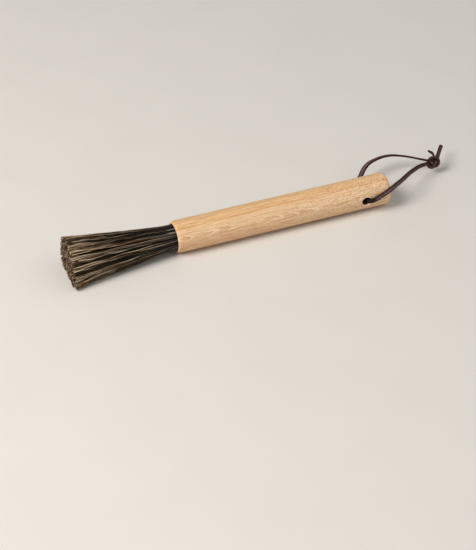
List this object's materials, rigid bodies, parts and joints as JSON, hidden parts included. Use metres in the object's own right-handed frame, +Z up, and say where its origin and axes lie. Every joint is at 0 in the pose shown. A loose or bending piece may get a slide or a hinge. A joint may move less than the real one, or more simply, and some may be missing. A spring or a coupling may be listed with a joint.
{
  "type": "coffee grinder brush",
  "caption": "Slim round oak-handled brush with a flared bundle of dark bristle and a tied leather hanging loop through a cross hole, for sweeping ground coffee out of a grinder.",
  "frame": {"origin": "on the surface the brush lies on, under the middle of the box around handle and bristles (the leather loop left out)", "axes": "+X along the handle from the bristles towards the loop end, +Z up from the surface the brush lies on, +Y to the left of +X, away from the side the near loop strand comes out of"},
  "size_m": [0.2673, 0.052, 0.0262],
  "materials": {
    "oiled_oak": "smooth sanded oak with a thin matt oil, pale honey colour with fine pores and long grain",
    "dark_bristle": "coarse natural bristle, near black at the root to brown and taupe at the split tips",
    "brown_leather": "dark brown leather lace, smooth on the flats with a soft sheen and matt cut edges",
    "binding_thread": "matt waxed thread, tightly wound",
    "set_glue": "hard amber glue"
  },
  "bodies": {
    "brush": {"handle": "oiled_oak", "bristles": "dark_bristle", "binding_thread": "binding_thread", "glue_bed": "set_glue"},
    "lace": {"lace_through_hole": "brown_leather", "lace_near_strand": "brown_leather", "lace_far_strand": "brown_leather", "lace_knot": "brown_leather", "lace_long_tail": "brown_leather", "lace_short_tail": "brown_leather"}
  },
  "joints": [
    {"name": "loop_swing", "type": "hinge", "parent": "brush", "child": "lace", "pos_m": [0.08825, 0, 0.00999], "axis": [0, -1, 0], "range_deg": [-140, 140]}
  ]
}
